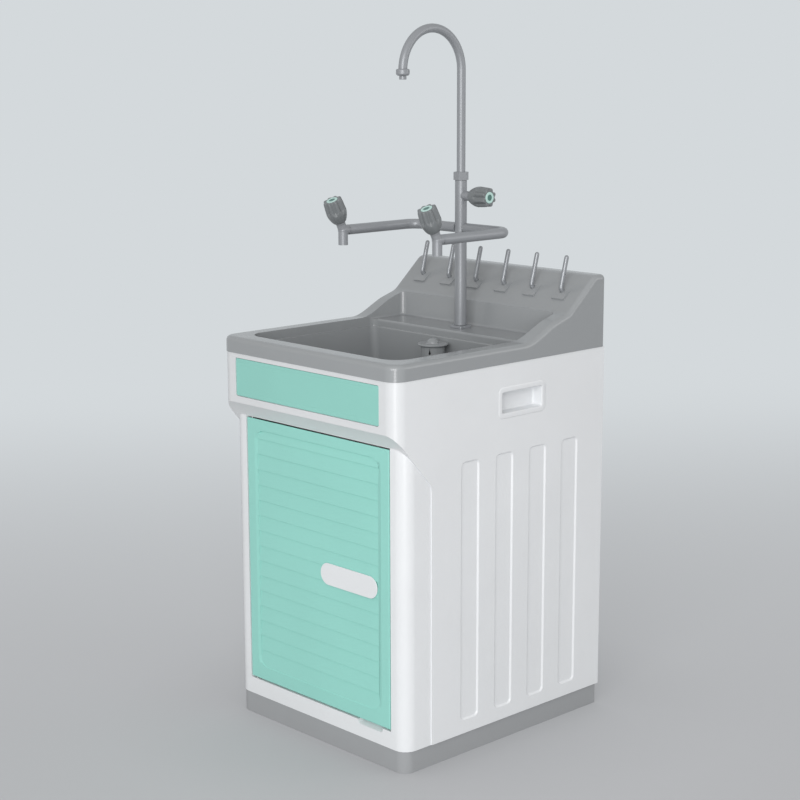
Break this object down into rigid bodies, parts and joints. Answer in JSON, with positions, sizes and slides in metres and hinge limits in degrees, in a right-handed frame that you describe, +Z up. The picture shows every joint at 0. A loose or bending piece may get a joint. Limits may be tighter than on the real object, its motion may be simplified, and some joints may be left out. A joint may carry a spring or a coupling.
{
  "type": "laboratory sink bench",
  "caption": "Narrow moulded laboratory wash bench: basin with overflow standpipe, drying pegs, hinged cupboard door and a tall swivel tap with side outlets.",
  "frame": {"origin": "on the floor, under the middle of the bench's outline", "axes": "+X to the right of someone standing at the basin, +Y from the door to the back, +Z up"},
  "size_m": [0.52, 0.6, 1.4348],
  "materials": {
    "grey_moulding": "fine satin grain, mid grey",
    "white_moulding": "satin white",
    "turquoise_moulding": "satin pale turquoise",
    "plated_steel": "dull plated",
    "black_rubber": "matt black",
    "pipe_plastic": "off-white satin",
    "knob_plastic": "dark grey satin",
    "cap_pale": "pale turquoise",
    "cap_dark": "dark green",
    "tap_enamel": "grey powder coat over brass"
  },
  "bodies": {
    "cabinet": {"back_panel": "white_moulding", "base_plinth": "grey_moulding", "column_valve_bonnet": "tap_enamel", "door_catch": "black_rubber", "drain_flange": "plated_steel", "drain_gasket": "black_rubber", "drain_lock_nut": "pipe_plastic", "drying_peg_1": "grey_moulding", "drying_peg_2": "grey_moulding", "drying_peg_3": "grey_moulding", "drying_peg_4": "grey_moulding", "drying_peg_5": "grey_moulding", "drying_peg_6": "grey_moulding", "fascia_panel": "turquoise_moulding", "front_frame": "white_moulding", "hinge_pin_lower": "plated_steel", "hinge_pin_upper": "plated_steel", "left_arm": "tap_enamel", "left_grip_cup": "white_moulding", "left_side_panel": "white_moulding", "left_valve_body": "tap_enamel", "left_valve_bonnet": "tap_enamel", "right_arm": "tap_enamel", "right_grip_cup": "white_moulding", "right_side_panel": "white_moulding", "right_valve_body": "tap_enamel", "right_valve_bonnet": "tap_enamel", "tap_column": "tap_enamel", "tap_flange": "tap_enamel", "tap_lock_nut": "plated_steel", "tap_washer": "black_rubber", "trap_body": "pipe_plastic", "trap_cup": "pipe_plastic", "trap_inlet_nut": "pipe_plastic", "trap_outlet_nut": "pipe_plastic", "union_nut": "tap_enamel", "waste_pipe": "pipe_plastic", "worktop_sink": "grey_moulding"},
    "door": {"door_panel": "turquoise_moulding", "door_label_plate": "white_moulding", "door_strike": "plated_steel"},
    "gooseneck": {"gooseneck": "tap_enamel", "spout_collar": "tap_enamel", "spout_nozzle": "tap_enamel"},
    "standpipe": {"standpipe": "grey_moulding", "standpipe_cap": "grey_moulding"},
    "column_knob": {"column_knob": "knob_plastic", "column_cap_ring": "cap_pale", "column_cap_eye": "cap_dark"},
    "left_knob": {"left_knob": "knob_plastic", "left_cap_ring": "cap_pale", "left_cap_eye": "cap_dark"},
    "right_knob": {"right_knob": "knob_plastic", "right_cap_ring": "cap_pale", "right_cap_eye": "cap_dark"}
  },
  "joints": [
    {"name": "door_hinge", "type": "hinge", "parent": "cabinet", "child": "door", "pos_m": [-0.2015, -0.2665, 0.3636], "axis": [0, 0, -1], "range_deg": [0, 110]},
    {"name": "gooseneck_swivel", "type": "hinge", "parent": "cabinet", "child": "gooseneck", "pos_m": [0, 0.1365, 1.1278], "axis": [0, 0, 1], "continuous": true},
    {"name": "column_knob_turn", "type": "hinge", "parent": "cabinet", "child": "column_knob", "pos_m": [0, 0.1365, 1.0855], "axis": [1, 0, 0], "range_deg": [0, 90]},
    {"name": "left_knob_turn", "type": "hinge", "parent": "cabinet", "child": "left_knob", "pos_m": [-0.138, -0.0695, 1.0185], "axis": [0, -0.4226, 0.9063], "range_deg": [0, 90]},
    {"name": "right_knob_turn", "type": "hinge", "parent": "cabinet", "child": "right_knob", "pos_m": [0.138, -0.0695, 1.0185], "axis": [0, -0.4226, 0.9063], "range_deg": [0, 90]},
    {"name": "standpipe_lift", "type": "slide", "parent": "cabinet", "child": "standpipe", "axis": [0, 0, 1], "range_m": [0, 0.2]}
  ]
}
